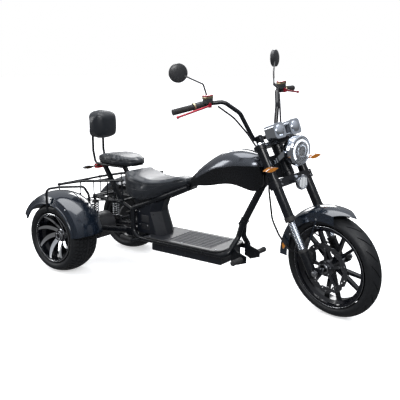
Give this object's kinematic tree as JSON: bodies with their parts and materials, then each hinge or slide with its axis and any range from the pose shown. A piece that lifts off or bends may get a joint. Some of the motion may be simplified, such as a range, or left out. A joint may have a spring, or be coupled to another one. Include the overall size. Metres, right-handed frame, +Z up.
{
  "type": "motorized trike",
  "caption": "Electric chopper trike with a raked fork, high bars, a step-through floor, a driver's saddle, a passenger seat with a backrest and a side rack over wide rear wheels.",
  "frame": {"origin": "on the ground under the middle of the vehicle's length, on its centre plane", "axes": "+X forward, +Y to the rider's left, +Z up"},
  "size_m": [2.3314, 0.9873, 1.4319],
  "materials": {
    "cable_black": "smooth",
    "caliper_black": "satin",
    "chrome": "polished",
    "control_black": "satin",
    "disc_steel": "ground",
    "fender_paint": "gloss metallic",
    "floor_mat": "ribbed",
    "fork_black": "gloss",
    "frame_black": "satin",
    "grip_rubber": "ribbed",
    "lamp_red": "clear",
    "lever_red": "anodised",
    "mirror_shell": "gloss",
    "motor_black": "satin",
    "plastic_black": "fine grain",
    "rim_black": "gloss",
    "rim_blade": "polished faces, black barrel",
    "seat_leather": "grained",
    "signal_amber": "clear",
    "spring_steel": "satin",
    "steel": "brushed",
    "tank_black": "gloss",
    "tank_silver": "gloss metallic",
    "tyre": "matt"
  },
  "bodies": {
    "chassis": {"backrest_frame": "frame_black", "backrest_pad": "seat_leather", "battery_box": "plastic_black", "body_cover": "plastic_black", "down_tube": "frame_black", "drive_motor": "motor_black", "driver_seat": "seat_leather", "floor_frame": "frame_black", "floorboard": "floor_mat", "front_cradle": "frame_black", "front_pegs": "frame_black", "guard_rails": "frame_black", "head_tube": "frame_black", "luggage_rack": "frame_black", "passenger_frame": "frame_black", "passenger_seat": "seat_leather", "rear_axle": "steel", "rear_fender_left": "fender_paint", "rear_fender_right": "fender_paint", "rear_frame": "frame_black", "rear_pegs": "frame_black", "rear_signals": "signal_amber", "seat_pan": "plastic_black", "seat_rails": "frame_black", "shock_absorbers": "spring_steel", "swing_arm": "frame_black", "tail_lamp": "lamp_red", "tank": "tank_black", "tank_panels": "tank_silver"},
    "steering": {"brake_caliper": "caliper_black", "brake_levers": "lever_red", "control_lines": "cable_black", "fork_crown": "frame_black", "fork_feet": "frame_black", "fork_sliders": "chrome", "fork_tubes": "fork_black", "front_axle": "steel", "front_fender": "fender_paint", "front_signals": "signal_amber", "grips": "grip_rubber", "hand_controls": "control_black", "handlebar": "fork_black", "headlamp": "chrome", "horn_lamp": "chrome", "instrument_pods": "chrome", "mirrors": "mirror_shell"},
    "front_wheel": {"front_disc": "disc_steel", "front_rim": "rim_black", "front_tyre": "tyre"},
    "rear_wheel_left": {"rear_rim_left": "rim_blade", "rear_tyre_left": "tyre"},
    "rear_wheel_right": {"rear_rim_right": "rim_blade", "rear_tyre_right": "tyre"}
  },
  "joints": [
    {"name": "steering", "type": "hinge", "parent": "chassis", "child": "steering", "pos_m": [0.8244, 0, 0.2912], "axis": [-0.4588, 0, 0.8886], "range_deg": [-26, 54]},
    {"name": "front_wheel_spin", "type": "hinge", "parent": "steering", "child": "front_wheel", "pos_m": [0.87119, -0.0104, 0.29153], "axis": [0.215, 0.9703, 0.111], "continuous": true},
    {"name": "rear_wheel_left_spin", "type": "hinge", "parent": "chassis", "child": "rear_wheel_left", "pos_m": [-0.9, 0.337, 0.238], "axis": [0, 1, 0], "continuous": true},
    {"name": "rear_wheel_right_spin", "type": "hinge", "parent": "chassis", "child": "rear_wheel_right", "pos_m": [-0.9, -0.337, 0.238], "axis": [0, 1, 0], "continuous": true}
  ]
}
